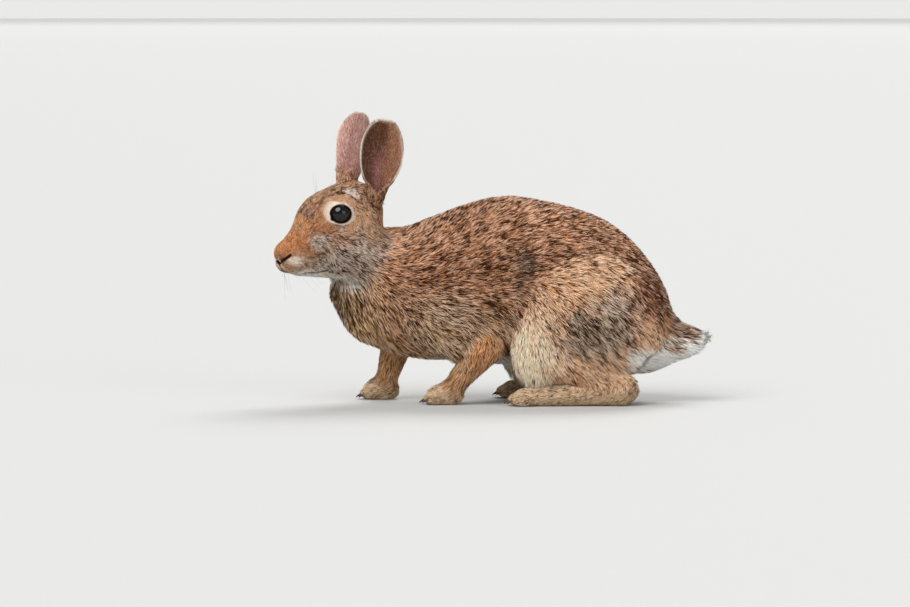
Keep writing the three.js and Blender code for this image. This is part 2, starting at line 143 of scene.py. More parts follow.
headMasses = [
    dict(at=(-24, 0, 1), size=(27, 20, 26), pitch=-25, blend=0,
         coat=2.4, hair=6, lie=(0.9, 0.1, 0.4), fur="crown"),
    dict(at=(-47.5, 0, -1.2), size=(20.5, 14, 18), pitch=-52, blend=10,
         coat=1.8, hair=4.2, lie=(0.7, 0.15, 0.7), fur="crown"),
    dict(start=(-52, 0, -11.5), end=(-70.5, 0, -25), radii=(16, 11.3), blend=8, coat=1.3, hair=3.2,
         lie=(0.9, 0.2, 0.5), fur="bridge"),
    dict(at=(-70.5, 4.5, -32.5), size=(11.5, 7.5, 9), pitch=-10, blend=4, coat=1.2, hair=3,
         lie=(0.95, 0.3, -0.2), fur="muzzle"),
    dict(at=(-76, 4, -26.5), size=(7, 5, 7.5), pitch=-20, blend=3, coat=0.6, hair=1.8,
         lie=(0.6, 0.1, 0.8), fur="noseTip"),
    dict(at=(-24, 12, -23), size=(25, 12, 25), pitch=-15, blend=10,
         coat=3.2, hair=6.5, lie=(0.9, 0.1, -0.4), fur="cheek"),
    dict(start=(-30, 0, -33), end=(-64, 0, -36.2), radii=(14, 7.8), blend=5, coat=1.8, hair=5,
         lie=(0.97, 0.1, -0.25), fur="jaw"),
    dict(at=(-11, 8.5, 4), size=(7.5, 8.5, 14), blend=6,
         coat=2.2, hair=5, lie=(0.3, 0.1, 0.9), fur="temple"),
]

toeBlend = 1.2
neckBlend = 8
soleHeight = 0.7    # the skin ends flat here, and the coat reaches down to the floor
feet = {
    -1: dict(hind=0, upper=(-32, 62), elbow=(-5, 26, 42), wrist=(-26, 24, 15), paw=(-34, 24, 7)),
    1: dict(hind=-8, upper=(-46, 62), elbow=(-67, 24, 52), wrist=(-78, 23, 15), paw=(-82, 23, 7)),
}


def legMasses(side):
    leg = feet[side]
    hind = leg["hind"]
    masses = [
        dict(at=(78 + hind, 30, 66), size=(53, 19, 46), pitch=22, yaw=-3, blend=7, coat=4, hair=9,
             lie=(0.8, 0, -0.6), fur="thigh"),
        dict(at=(38 + hind, 33, 46), size=(22, 13, 34), pitch=14, blend=9, coat=3.5, hair=8.5,
             lie=(0.25, 0, -1), fur="knee"),
        dict(start=(46 + hind, 32, 31), end=(95 + hind, 32, 16), radii=(12, 9.5), blend=8, coat=3, hair=8,
             lie=(0.7, 0, -0.7), fur="thigh"),
        dict(start=(96 + hind, 33, 8.8), end=(24 + hind, 37, 6), radii=(8.6, 7.4), blend=8,
             coat=1.8, hair=4.5, lie=(-1, 0, -0.2), fur="foot"),
        dict(at=(97 + hind, 33, 10.8), size=(15, 8.6, 10.8), pitch=-12, blend=6, coat=1.8, hair=5,
             lie=(-0.8, 0, -0.4), fur="foot"),
        dict(at=(leg["upper"][0], 24, leg["upper"][1]), size=(38, 13, 27), pitch=30, blend=8,
             coat=3.6, hair=9.5, lie=(0.8, 0, -0.6), fur="shoulder"),
        dict(start=leg["elbow"], end=leg["wrist"], radii=(14, 8), blend=8, coat=2.6, hair=7.5,
             lie=(-0.35, 0, -1), fur="forearm"),
        dict(at=leg["paw"], size=(14, 9, 8.5), pitch=8, blend=8,
             coat=1.8, hair=4.5, lie=(-1, 0, -0.3), fur="foot"),
    ]
    for across in (-1.5, -0.5, 0.5, 1.5):    # toes
        hindToe = (21.5 + hind + 1.1 * across**2, 37 + 4.1 * across, 5)
        foreToe = (leg["paw"][0] - 9.5 + across**2, leg["paw"][1] + 3.7 * across, 4.6)
        masses.append(dict(at=hindToe, size=(8.5, 2.6, 4.8), blend=toeBlend, coat=0.6, hair=3,
                           lie=(-1, 0, -0.2), fur="foot"))
        masses.append(dict(at=foreToe, size=(6.5, 2.3, 4.3), blend=toeBlend, coat=0.6, hair=2.6,
                           lie=(-1, 0, -0.25), fur="foot"))
    for mass in masses:    # written for the far side, mirrored for the near one
        for key in ("at", "start", "end"):
            if key in mass:
                mass[key] = np.array(mass[key]) * (1, side, 1)
        mass["yaw"] = mass.get("yaw", 0) * side
    return masses


bodyMasses = trunkMasses + legMasses(-1) + legMasses(1)


def distances(masses, points):    # to the skin of each mass, inside its coat
    return [distanceTo(mass, points) + mass["coat"] for mass in masses]


def allDistances(points):
    every = distances(bodyMasses, points) + distances(headMasses, mirrored(toHead(points)))
    return np.stack(every, -1)


def melted(masses, points):
    total = np.full(points.shape[:-1], 1e3)
    for distance, mass in zip(distances(masses, points), masses):
        total = melt(total, distance, mass["blend"])
    return total


def withHead(body, inHead):    # the trunk and legs, with the finished head melted on
    return melt(body, faceDetail(melted(headMasses, inHead), inHead), neckBlend)


def skinField(points):
    whole = withHead(melted(bodyMasses, points), mirrored(toHead(points)))
    return np.maximum(whole, soleHeight - points[..., 2])


# the face: lids round the eyes, nostrils and the split upper lip, in the head's frame
eyeAxis = np.array((-0.36, 0.93, 0.08))
eyeAxis = eyeAxis / np.linalg.norm(eyeAxis)
eyeFront = unitRows(np.cross((0, 0, 1), eyeAxis))
eyeUp = np.cross(eyeAxis, eyeFront)
lid = dict(wide=7.5, tall=6.5, thick=1.05, edge=0.9)    # half sizes of the opening between the lids


def seated(point, depth=0.0):    # a point near the face, moved to that depth under its skin
    point = np.array(point, float)
    for _ in range(6):
        value = melted(headMasses, point[None])[0]
        ahead = [melted(headMasses, (point + 0.05 * way)[None])[0] for way in np.eye(3)]
        slope = (np.array(ahead) - value) / 0.05
        point -= slope * (value + depth) / (slope @ slope)
    return point


def traced(stops, radii):    # a line pressed into the face
    seats = [seated(stop) for stop in stops]
    widths = np.linspace(*radii, len(seats))
    ends = zip(seats, seats[1:], widths, widths[1:])
    return [dict(start=a, end=b, radii=(wide, narrow)) for a, b, wide, narrow in ends]


def nearest(cuts, points):
    return np.min([distanceTo(cut, points) for cut in cuts], axis=0)


nostril = traced(((-80, 0.6, -34.2), (-79.6, 2.4, -32.4), (-78.2, 4.8, -30.2), (-75.6, 6.8, -27.6)),
                 (1.7, 0.8))
lips = traced(((-80, 0.3, -34.5), (-78.5, 0.4, -38), (-76, 1.2, -40.4), (-71, 3.5, -42), (-64, 5.6, -42.4),
               (-54.5, 8, -42.6), (-47, 10, -40)), (1.2, 0.7))
eyeCorner = [dict(start=eyeAt + eyeAxis * 5.2 + eyeFront * 6 - eyeUp * 3.6,
                  end=eyeAt + eyeAxis * 3 + eyeFront * 8.8 - eyeUp * 5.4, radii=(1.5, 0.4))]
faceCuts = (nostril, lips, eyeCorner)


# height over the eye's middle, gap outside the lids' opening, and distance from the middle
def eyeShape(points):
    away = points - eyeAt
    gap = (np.hypot(away @ eyeFront / lid["wide"], away @ eyeUp / lid["tall"]) - 1) * lid["tall"]
    return away @ eyeAxis, gap, np.linalg.norm(away, axis=-1)


def faceDetail(field, points):
    gap, middle = eyeShape(points)[1:]
    field = melt(field, carve(middle - eyeRadius - lid["thick"], gap, lid["edge"]), 2.5)
    field = carve(field, middle - eyeRadius - 0.05, 0.4)
    for cuts in faceCuts:
        field = carve(field, nearest(cuts, points), 0.6)
    return field


# the ears: leaves rolled about their length, nearly tubes at the root and open above
ear = dict(root={-1: (-8.5, 10, 9), 1: (-17.5, 10, 13.8)}, back={-1: 4.6, 1: 14.6}, out=12, facing=22,
           length=64.4, thickness=1.3, rootStart=-0.2, rings=72, steps=26,
           tipFrom=0.5, tipPower={"front": 2.4, "rear": 1.35}, widestHalf=165,
           roll=((-0.2, -0.1, 0, 0.08, 0.15, 0.25, 0.33, 0.42, 0.5, 0.7, 1),
                 (1.5, 2.4, 4, 5.4, 6.1, 7.4, 12, 16.4, 19.4, 22, 25)),
           halfWidth=((0, 0.12, 0.25, 0.33, 0.42, 0.5, 0.7), (17.4, 17.2, 15.2, 14.7, 16.6, 17.6, 19.6)))


def earAxes(side):
    axis = np.array((tan(radians(ear["back"][side])), side * tan(radians(ear["out"])), 1.0))
    axis /= np.linalg.norm(axis)
    opening = np.array((-sin(radians(ear["facing"])), side * cos(radians(ear["facing"])), 0.0))
    opening -= axis * (opening @ axis)
    opening /= np.linalg.norm(opening)
    return axis, opening, np.cross(axis, opening), np.array(ear["root"][side]) * (1, side, 1)


def earSection(t, fore):    # roll radius, and half angle towards the front edge (fore > 0) or the rear one
    roll = np.interp(t, *ear["roll"])
    nearTip = np.clip((t - ear["tipFrom"]) / (1 - ear["tipFrom"]), 0, 1)
    power = np.where(fore > 0, ear["tipPower"]["front"], ear["tipPower"]["rear"])
    width = np.interp(t, *ear["halfWidth"]) * np.sqrt(np.maximum(1 - nearTip ** power, 0))
    return roll, np.minimum(width / roll, radians(ear["widestHalf"]))


def atTip(t):
    return min(1, max(0, (t - 0.85) / 0.15))


def earMesh(side):
    axis, opening, across, root = earAxes(side)
    rows = []
    for ring in range(ear["rings"]):
        even = ring / (ear["rings"] - 1)
        t = 0.996 * (even + 0.16 * sin(pi * even) * even) if ring else ear["rootStart"]
        s = np.linspace(-1, 1, ear["steps"] + 1)
        thin = ear["thickness"] * (1 - 0.55 * s**4) * (1.5 - 0.5 * min(1, t * 3)) / 2
        ripple = 0.35 * np.sin(9 * s + 4 * t) * min(1, 4 * t) * (1 - atTip(t))
        for shift, order in ((thin, s), (-thin, s[::-1])):
            roll, half = earSection(t, order * side)
            radius = roll + (shift if order is s else shift[::-1]) + ripple
            angle = half * order
            rows.append(root + axis * t * ear["length"] + np.outer(roll - radius * np.cos(angle), opening)
                        + np.outer(radius * np.sin(angle), across))
    points = np.concatenate(rows)
    loop = 2 * (ear["steps"] + 1)
    faces = []
    for ring in range(ear["rings"] - 1):
        for i in range(loop):
            a, b = ring * loop + i, ring * loop + (i + 1) % loop
            faces.append((b, a, a + loop, b + loop))
    last = (ear["rings"] - 1) * loop
    for i in range(ear["steps"]):
        faces.append((i, i + 1, loop - 2 - i, loop - 1 - i))
        faces.append((last + i + 1, last + i, last + loop - 1 - i, last + loop - 2 - i))
    return fromHead(points), faces


# places along the ear, across it (-1 to 1), and off its middle sheet (inside is negative)
def earPlace(points, side):
    axis, opening, across, root = earAxes(side)
    away = toHead(points) - root
    t = away @ axis / ear["length"]
    inward, aside = np.interp(t, *ear["roll"]) - away @ opening, away @ across
    angle = np.arctan2(aside, inward)
    roll, half = earSection(t, angle * side)
    off = np.hypot(aside, inward) - roll
    return t, angle / np.maximum(half, 1e-3), off


# the skin: one closed surface from nose to tail, with the ears joined on
# headBlock: the head lies before the first (x) and above the second (z); finer faces start at fineFrom
skin = dict(voxel=1.4, low=(-170, -54, -2), high=(166, 54, 172), margin=16, far=30.0, headBlock=(-62, 70),
            fineFrom=-6)


def extentOf(mass):
    if "size" in mass:
        return np.array(mass["at"]), np.full(3, max(mass["size"]) + skin["margin"])
    ends = np.array((mass["start"], mass["end"]), float)
    return ends.mean(0), np.abs(ends[1] - ends[0]) / 2 + max(mass["radii"]) + skin["margin"]


def blockOf(axes, part):
    return np.stack(np.meshgrid(*[axis[span] for axis, span in zip(axes, part)], indexing="ij"), -1)


def gridField(axes):
    total = np.full([len(axis) for axis in axes], skin["far"])
    for mass in bodyMasses:
        centre, extent = extentOf(mass)
        spans = zip(axes, centre - extent, centre + extent)
        part = tuple(slice(*np.searchsorted(axis, ends)) for axis, *ends in spans)
        distance = distanceTo(mass, blockOf(axes, part)) + mass["coat"]
        total[part] = melt(total[part], distance, mass["blend"])
    before, above = skin["headBlock"]
    part = (slice(0, np.searchsorted(axes[0], before)), slice(None),
            slice(np.searchsorted(axes[2], above), None))
    total[part] = withHead(total[part], mirrored(toHead(blockOf(axes, part))))
    return np.maximum(total, soleHeight - axes[2])


def drawOnto(points, passes=3):
    start, step = points.copy(), 0.05
    for _ in range(passes):
        value = skinField(points)
        slope = np.stack([(skinField(points + step * way) - value) / step for way in np.eye(3)], -1)
        steep = np.maximum((slope**2).sum(-1), 0.1)
        points = points - slope * (value / steep)[:, None]
    moved = points - start
    length = np.linalg.norm(moved, axis=1, keepdims=True)
    return start + moved * np.minimum(1, skin["voxel"] / np.maximum(length, 1e-9))


def readRows(items, key, kind=np.float32):
    flat = np.empty(len(items) * 3, kind)
    items.foreach_get(key, flat)
    return flat.reshape(-1, 3)


def coordinatesOf(mesh):
    return readRows(mesh.vertices, "co").astype(float)


def normalsOf(mesh):
    return readRows(mesh.vertices, "normal").astype(float)


def trianglesOf(mesh):
    mesh.calc_loop_triangles()
    return readRows(mesh.loop_triangles, "vertices", np.int32)


def reshape(mesh, work):
    bm = bmesh.new()
    bm.from_mesh(mesh)
    work(bm)
    bm.to_mesh(mesh)
    bm.free()


def placed(name, data):
    made = bpy.data.objects.new(name, data)
    bpy.context.collection.objects.link(made)
    return made


def objectOf(name, points, faces):
    mesh = bpy.data.meshes.new(name)
    mesh.from_pydata(points.tolist(), [], faces)
    mesh.update()
    return placed(name, mesh)


def refine(mesh, near):    # smaller faces where near() says so, drawn onto the true form
    def divide(bm):
        bm.faces.ensure_lookup_table()
        chosen = near(np.array([face.calc_center_median() for face in bm.faces]))
        edges = {edge for face, take in zip(bm.faces, chosen) if take for edge in face.edges}
        bmesh.ops.subdivide_edges(bm, edges=list(edges), cuts=1, use_grid_fill=True)

    reshape(mesh, divide)
    points = coordinatesOf(mesh)
    fresh = near(points)
    points[fresh] = drawOnto(points[fresh], 2)
    mesh.vertices.foreach_set("co", points.ravel())
    mesh.update()


def nearHead(at):
    return toHead(at)[:, 0] < skin["fineFrom"]


def nearFeatures(at):
    local = mirrored(toHead(at))
    height, _, middle = eyeShape(local)
    mouth = np.linalg.norm(local - (-76, 2, -34), axis=-1) < 15
    return ((middle < 12.5) & (height > -1)) | mouth


def nearLids(at):
    height, gap, middle = eyeShape(mirrored(toHead(at)))
    return (height > 0) & (np.abs(gap) < 1.8) & (middle < 13)


def turnOutward(bm):
    if bm.calc_volume(signed=True) < 0:
        bmesh.ops.reverse_faces(bm, faces=bm.faces)


def makeSkin():
    axes = [np.arange(low, high, skin["voxel"]) for low, high in zip(skin["low"], skin["high"])]
    grid = openvdb.FloatGrid(skin["far"])
    grid.copyFromArray(gridField(axes).astype(np.float32))
    points, triangles, quads = grid.convertToPolygons(isovalue=0.0, adaptivity=0.0)
    points = drawOnto(points.astype(float) * skin["voxel"] + skin["low"])
    faces = [tuple(face) for face in quads.tolist()] + [tuple(face) for face in triangles.tolist()]
    made = objectOf("skin", points, faces)
    print("skin grid", len(points))
    for near in (nearHead, nearFeatures, nearLids):
        refine(made.data, near)
    reshape(made.data, turnOutward)
    for side in (-1, 1):
        cover = objectOf("earCover", *earMesh(side))
        join = made.modifiers.new("join", "BOOLEAN")
        join.operation, join.solver, join.object = "UNION", "MANIFOLD", cover
        bpy.context.view_layer.update()
        joined = bpy.data.meshes.new_from_object(made.evaluated_get(bpy.context.evaluated_depsgraph_get()))
        made.modifiers.clear()
        made.data = joined
        bpy.data.objects.remove(cover)
    print("skin", len(made.data.vertices), "points")
    return made


# the markings: each kind of fur has its band colour, its share of dark hairs and its share of pale ones
palette = {
    "back": ("c4824f", 0.38, 0.30), "flank": ("b68656", 0.34, 0.34), "rump": ("c29068", 0.36, 0.38),
    "white": ("fbf6ee", 0.01, 0.50), "nape": ("dc9662", 0.16, 0.32), "chest": ("c6955c", 0.24, 0.34),
    "tail": ("a8866e", 0.42, 0.26), "thigh": ("e6a672", 0.19, 0.42), "knee": ("ffd5b1", 0.05, 0.45),
    "foot": ("d8b48c", 0.14, 0.24), "shoulder": ("ba9064", 0.28, 0.36),
    "forearm": ("cc9258", 0.16, 0.20), "crown": ("bc8658", 0.32, 0.26),
    "bridge": ("cc8248", 0.12, 0.12), "bridgeTop": ("d6965e", 0.16, 0.22),
    "muzzle": ("c0946c", 0.20, 0.30), "noseTip": ("c07c48", 0.04, 0.02),
    # jaw: its own pale grey chin, darkened with painted shade under the chin
    "cheek": ("9c7c60", 0.40, 0.66), "jaw": ("988870", 0.30, 0.54), "eyeRing": ("fadccc", 0.00, 0.30),
    "orbit": ("d8a074", 0.08, 0.20), "brow": ("76543e", 0.60, 0.10),
    "browWhite": ("dcbfae", 0.20, 0.70), "streak": ("94644a", 0.34, 0.24),
    "lipWhite": ("f0e8dc", 0.03, 0.60), "snoutCream": ("fae0ca", 0.00, 0.60),
    "underEye": ("b47c52", 0.26, 0.34), "cheekPale": ("c4a48c", 0.26, 0.74),
    # cheekDark: the lower cheek's own grizzled tone, darkened with painted shade under the jaw
    "cheekDark": ("88705c", 0.44, 0.56), "earRoot": ("c48c5c", 0.24, 0.24),
    "greyThigh": ("bc9c82", 0.36, 0.50), "lowThigh": ("927659", 0.38, 0.40),
    "rust": ("d08c4c", 0.14, 0.20), "rear": ("a0643c", 0.46, 0.22),
    # the crease before the thigh: darker fur as painted shade in the fold
    "shoulderPale": ("ba9068", 0.26, 0.48), "creaseShade": ("84644a", 0.44, 0.18),
    # the throat: chest fur darkened as painted shade under the head
    "throat": ("927044", 0.32, 0.22), "earBack": ("d4a298", 0.03, 0.25),
    "earRear": ("a8765a", 0.04, 0.14), "earInside": ("6c452c", 0.06, 0.06),
    "earGroove": ("b47c74", 0.00, 0.10), "earRim": ("f2e2cc", 0.00, 0.30),
    "temple": ("d09c70", 0.20, 0.30),
}

# places on both sides where the fur changes over its general colour: its name, the middle and half sizes
headPatches = [
    ("bridgeTop", (-66, 4, -8), (12, 7, 9)),
    ("bridge", (-76, 3, -20), (13, 6, 9)),
    ("snoutCream", (-73, 7, -31), (6.5, 7, 4)),
    ("snoutCream", (-82, 0, -35), (4, 5, 5)),
    ("lipWhite", (-62, 6, -43), (17, 11, 4.5)),
    ("streak", (-62, 7, 2), (3.2, 8, 5)),
    ("underEye", (-38, 15, -14), (13, 9, 5)),
    ("cheekPale", (-55, 12, -18), (8, 8, 7)),
    # the lower cheek: its own tone darkened with painted shade under the jaw
    ("cheekDark", (-40, 16, -30), (14, 10, 6)),
    ("cheekPale", (-24, 20, -24), (9, 10, 6)),
    ("temple", (-17, 16, -5), (8, 10, 15)),
    ("browWhite", (-30, 12, 17.8), (5.5, 8, 4.2)),
    ("earRoot", (-4, 12, 4), (9, 12, 15)),
    ("lipWhite", (-36, 6, -47), (24, 12, 5)),
]
bodyPatches = [
    # painted shade on the throat, under the head
    ("throat", (-104, 0, 82), (26, 20, 16)),
    ("shoulderPale", (-31, 40, 71), (16, 14, 11)),
    # painted shade in the fold before the thigh
    ("creaseShade", (23, 34, 104), (8, 14, 11)),
    ("creaseShade", (17, 34, 89), (3, 14, 10)),
    ("rust", (-3, 30, 42), (9, 12, 13)),
    ("greyThigh", (90, 44, 80), (22, 16, 12)),
    ("lowThigh", (77, 44, 57), (31, 18, 20)),
    ("thigh", (56, 44, 90), (30, 18, 11)),
    ("rear", (116, 20, 84), (18, 30, 26)),
    ("rust", (128, 14, 62), (12, 16, 8)),
    ("white", (110, 24, 37), (17, 20, 10)),
    ("white", (20, 0, 32), (70, 24, 12)),
    ("white", (144, 0, 47), (22, 20, 10)),
    ("tail", (140, 0, 61), (20, 20, 8)),
    ("tail", (131, 14, 45), (6, 18, 7)),
    ("tail", (142, 8, 53), (10, 14, 5)),
    ("white", (163, 0, 48), (11, 12, 9)),
]

uncombed = ("foot", "forearm", "tail", "white")    # these furs keep the lie of their own masses

# how the rest lies, seen from the side: a place (x, z) and the angle in degrees by which hair falls there
bodyComb = [
    (-68, 126, -30), (-52, 112, -42), (-30, 110, -38), (-8, 117, -30), (8, 108, -36), (30, 121, -26),
    (45, 108, -20), (64, 121, 8), (86, 117, 28), (112, 99, 50), (128, 77, 52), (68, 92, 32),
    (41, 77, 44), (83, 69, 40), (53, 54, 42), (24, 76, 78), (24, 45, 95), (17, 95, -40), (-68, 98, 0),
    (-45, 92, -12), (-15, 81, 4), (-83, 105, 34), (-68, 77, 40), (-86, 66, 62), (-104, 80, 70),
    (-38, 65, 18), (-8, 54, 38), (8, 41, 55), (-56, 47, 40),
]
headComb = [
    (-83, -16, -52), (-76, 2, -57), (-61, 2, -64), (-68, -16, -36), (-68, -28, -10), (-53, 14, -42),
    (-46, 7, -55), (-48, -5, -16), (-38, 20, 0), (-22, 14, 58), (-14, 0, 70), (-53, -22, 30),
    (-38, -16, 28), (-31, -28, 28), (-12, -22, 36), (-46, -44, 26), (-68, -40, 8),
]


def combedLie(points, comb, reach):
    places = np.array(comb)
    angle = np.radians(places[:, 2])
    away = np.hypot(points[:, :1] - places[:, 0], points[:, 2:] - places[:, 1])
    weight = np.exp(-((away / reach) ** 2) / 2) + 1e-9
    weight /= weight.sum(1, keepdims=True)
    return np.stack((weight @ np.cos(angle), np.zeros(len(points)), -(weight @ np.sin(angle))), -1)


lattice = dice.random((24, 24, 24))


def cloud(points, scale):    # smooth noise from 0 to 1
    place = points / scale
    cell = np.floor(place).astype(int)
    part = place - cell
    part = part * part * (3 - 2 * part)
    total = np.zeros(len(points))
    for corner in np.ndindex(2, 2, 2):
        weight = np.prod(np.where(corner, part, 1 - part), axis=-1)
        total += weight * lattice[tuple(((cell + corner) % 24).T)]
    return total


def linear(code):    # a hex colour as the shader's linear numbers
    value = np.array([int(code[i:i + 2], 16) for i in (0, 2, 4)]) / 255
    return np.where(value < 0.04045, value / 12.92, ((value + 0.055) / 1.055) ** 2.4)


furs = {name: np.array((*linear(code), dark, pale)) for name, (code, dark, pale) in palette.items()}


def ease(value, low, high):
    part = np.clip((value - low) / (high - low), 0, 1)
    return part * part * (3 - 2 * part)


def towards(looks, share, name):
    return looks + share[:, None] * (furs[name] - looks)


def laid(lie, normals):    # the lie turned flat onto the skin
    return unitRows(lie - normals * (lie * normals).sum(-1, keepdims=True))


# round the eye: a pale ring, widest in front, tan above and behind it, a dark brow line and short hair
def roundEye(points, onHead, looks, hair, coat):
    height, gap, middle = eyeShape(onHead)
    away = onHead - eyeAt
    turn = np.arctan2(away[:, 2], away[:, 0])    # 0 behind the eye, 90 degrees above it
    inFront, above = ease(-np.cos(turn + radians(12)), 0.45, 1), ease(np.sin(turn), 0.1, 0.8)
    behind = ease(np.cos(turn + radians(40)), 0.2, 1)
    near = (middle < 26) & (height > -8)
    orbit = np.maximum(above, 0.8 * np.maximum(behind, inFront))
    looks = towards(looks, near * (1 - ease(gap, 6, 9.5)) * orbit, "orbit")
    ragged = cloud(points, 2.2)
    browLine = 1 - ease(np.abs(gap - 9.2 + 1.5 * ragged), 0.3, 1.3)
    looks = towards(looks, 0.75 * near * browLine * ease(np.sin(turn), 0.5, 0.8), "brow")
    wide = 1.4 + 2.7 * inFront + 0.8 * ease(np.cos(turn), 0.6, 1) + 0.9 * ragged
    looks = towards(looks, near * (1 - ease(gap, wide - 0.7, wide + 0.7 + 1.4 * inFront)), "eyeRing")
    hair = np.where(near, np.minimum(hair, 0.9 + 0.4 * np.maximum(gap - 1, 0)), hair)
    coat = np.where(near, np.minimum(coat, 0.25 + 0.17 * np.maximum(gap - 1, 0)), coat)
    return looks, hair, coat


# colour with shares of dark and pale hairs, hair length, coat depth and lie at each point
def furAt(points, normals):
    every = allDistances(points)
    weight = np.exp(-(every - every.min(-1, keepdims=True)) / 2.5)
    weight /= weight.sum(-1, keepdims=True)
    masses = bodyMasses + headMasses
    looks = weight @ np.array([furs[mass["fur"]] for mass in masses])
    hair = weight @ np.array([mass["hair"] for mass in masses])
    coat = weight @ np.array([mass["coat"] for mass in masses])
    split = len(bodyMasses)
    inHead = toHead(points)
    onHead = mirrored(inHead)
    follows = weight @ np.array([mass["fur"] not in uncombed for mass in masses])
    lie = weight[:, :split] @ np.array([unitRows(np.array(mass["lie"], float)) for mass in bodyMasses])
    lie += (follows - weight[:, split:].sum(-1))[:, None] * 2 * combedLie(points, bodyComb, 13)
    headLie = combedLie(onHead, headComb, 6.5)
    headLie[:, 1] = np.where(inHead[:, 1] < 0, -0.12, 0.12)
    lie += weight[:, split:].sum(-1, keepdims=True) * 2 * (headLie @ headTurn.T)
    ragged = 0.5 * (cloud(points, 5) - 0.5) + 0.4 * (cloud(points, 1.8) - 0.5)
    for place, patches in ((onHead, headPatches), (mirrored(points), bodyPatches)):
        for fur, middle, size in patches:
            reach = np.linalg.norm((place - middle) / size, axis=-1) + ragged
            looks = towards(looks, 1 - ease(reach, 0.5, 1.4), fur)
    looks, hair, coat = roundEye(points, onHead, looks, hair, coat)
    slit = nearest(nostril + lips, onHead)
    hair = np.minimum(hair, np.where(slit < 6, 0.7 + 0.6 * np.maximum(slit, 0), 99))
    return looks, hair, coat, laid(lie, normals)


def streaks(points, lie, scale):
    total = sum(cloud(points + lie * (scale * 0.7 * step), scale) for step in (-2, -1, 0, 1, 2)) / 5
    return (total - total.mean()) / total.std()


# the ears' fur: short and dense on the back, thin inside, with a pale fringe along the rim
earFur = dict(backHair=3.8, backCoat=0.6, insideHair=2.8, insideCoat=0.4, rimHair=2.0, rootHair=4.4,
              rootCoat=1.1, bodyReach=1.2)


def addEars(points, normals, looks, hair, coat, lie):
    off = ease(skinField(points), earFur["bodyReach"] - 0.9, earFur["bodyReach"] + 0.9)
    sideOf = np.where(toHead(points)[:, 1] < 0, -1, 1)
    rim = np.zeros(len(points))
    inside = np.zeros(len(points))
    along, across = np.zeros(len(points)), np.zeros(len(points))
    for side in (-1, 1):
        mine = (off > 0) & (sideOf == side)
        t, s, sheet = earPlace(points[mine], side)
        axis, opening, sidewise, _ = earAxes(side)
        inner = ease(-sheet, -0.1, 0.3)
        edge = np.maximum(ease(np.abs(s), 0.9, 0.985), ease(t, 0.965, 0.99))
        fore = s * side    # the edge in front of the ear is positive
        ridge = np.exp(-((fore - 0.05) / 0.3) ** 2)
        part = off[mine]
        new = np.repeat(furs["earBack"][None], mine.sum(), 0)
        new = towards(new, 1 - ease(t, 0.12, 0.4), "earRoot")
        insideLook = np.repeat(furs["earInside"][None], mine.sum(), 0)
        insideLook = towards(insideLook, ridge * (1 - ease(t, 0.35, 0.8)), "earGroove")
        insideLook = towards(insideLook, 1 - ease(fore, -0.5, 0.1), "earRear")
        new += inner[:, None] * (insideLook - new)
        new = towards(new, edge * ease(t, 0.22, 0.4), "earRim")
        looks[mine] += part[:, None] * (new - looks[mine])
        newHair = earFur["backHair"] + inner * (earFur["insideHair"] - earFur["backHair"])
        newHair += edge * (earFur["rimHair"] - newHair)
        newCoat = earFur["backCoat"] + inner * (earFur["insideCoat"] - earFur["backCoat"])
        atRoot = (1 - ease(t, 0.12, 0.34)) * (1 - inner)
        newHair += atRoot * (earFur["rootHair"] - newHair)
        newCoat += atRoot * (earFur["rootCoat"] - newCoat)
        hair[mine] += part * (newHair - hair[mine])
        coat[mine] += part * (newCoat - coat[mine])
        angle = s * earSection(t, fore)[1]
        rimward = np.outer(np.sin(angle), opening) + np.outer(np.cos(angle), sidewise)
        new = (axis + rimward * (s * 0.5)[:, None]) @ headTurn.T
        lie[mine] += part[:, None] * (new - lie[mine])
        rim[mine], inside[mine] = edge * part, inner * part
        along[mine], across[mine] = t, s
    lie[:] = laid(lie, normals)
    return off, rim, inside, along, across


def earSheets(t, s, inner):    # an unwrap of the two faces of an ear
    return np.stack((np.where(inner, 0.52, 0) + 0.24 + 0.22 * s, 0.02 + 0.96 * np.clip(t, 0, 1)), -1)


# the coat is thin spindles of fur, each closed, rooted in the skin and lying along the body
strands = dict(total=364000, width=0.08, widthByLength=0.037, lift=0.66, bend=0.5, spread=8, clump=14,
               tilt=0.75, keel=0.35, uvPatch=0.003, floor=0.12, footHeight=0.9, depth=0.25, mostLift=2.5)

# what hide() gives for each point, by its place in the row
column = dict(band=slice(0, 3), dark=3, pale=4, hair=5, coat=6, lie=slice(7, 10), off=10, rim=11, inside=12,
              along=13, across=14, density=15)


def fact(facts, name):
    return facts[:, column[name]]


def bareAt(points):    # no fur on the eye's rim, in the nostrils or in the mouth
    local = mirrored(toHead(points))
    height, gap, middle = eyeShape(local)
    bare = (gap < 0.9) & (height > -2) & (middle < 14)
    for cuts in faceCuts:
        bare |= nearest(cuts, local) < 0.5
    return bare


def hide(points, normals):    # all that the fur needs to know at each point of the skin
    looks, hair, coat, lie = furAt(points, normals)
    off, rim, inside, along, across = addEars(points, normals, looks, hair, coat, lie)
    width = strands["width"] + strands["widthByLength"] * hair
    cover = 5.2 - 2.2 * off + 1.5 * rim - 1.6 * inside * (1 - rim)
    density = cover / (hair * width * 0.5)
    return np.column_stack((looks, hair, coat, lie, off, rim, inside, along, across, density))


